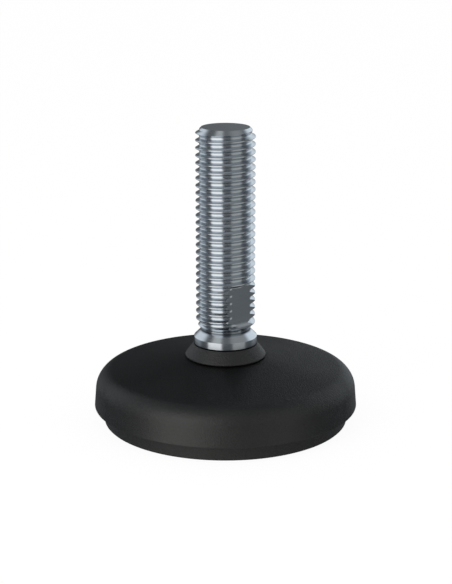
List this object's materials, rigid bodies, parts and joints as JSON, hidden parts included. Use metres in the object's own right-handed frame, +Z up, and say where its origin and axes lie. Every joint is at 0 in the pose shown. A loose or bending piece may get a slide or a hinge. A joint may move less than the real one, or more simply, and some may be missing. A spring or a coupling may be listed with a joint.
{
  "type": "machine foot",
  "caption": "Ball-jointed levelling machine foot: threaded steel spindle with wrench flats and collar, rubber dust seal, round plastic base and anti-slip rubber sole.",
  "frame": {"origin": "centre of the sole's underside, on the floor", "axes": "+Z up along the spindle towards its free end; +X square to one of the two wrench flats; +Y along the flats"},
  "size_m": [0.0886, 0.0886, 0.0996],
  "materials": {
    "zinc_steel": "zinc plated, bright bluish, fine turning lines",
    "seal_rubber": "smooth matte black rubber",
    "spring_steel": "oiled spring wire",
    "seat_steel": "turned steel",
    "base_plastic": "black glass-filled polyamide with a fine moulded grain",
    "sole_rubber": "matte black rubber"
  },
  "bodies": {
    "base": {"base_plate": "base_plastic", "sole": "sole_rubber", "snap_ring": "spring_steel"},
    "seat": {"ball_seat": "seat_steel"},
    "seal": {"dust_seal": "seal_rubber"},
    "spindle": {"spindle": "zinc_steel"}
  },
  "joints": [
    {"name": "seat_swivel", "type": "hinge", "parent": "base", "child": "seat", "pos_m": [0, 0, 0.01525], "axis": [0, 0, 1], "continuous": true},
    {"name": "ball_tilt", "type": "hinge", "parent": "seat", "child": "seal", "pos_m": [0, 0, 0.01525], "axis": [1, 0, 0], "range_deg": [-7, 7], "deforming": ["dust_seal"]},
    {"name": "spindle_turn", "type": "hinge", "parent": "seal", "child": "spindle", "pos_m": [0, 0, 0.01525], "axis": [0, 0, 1], "continuous": true}
  ]
}
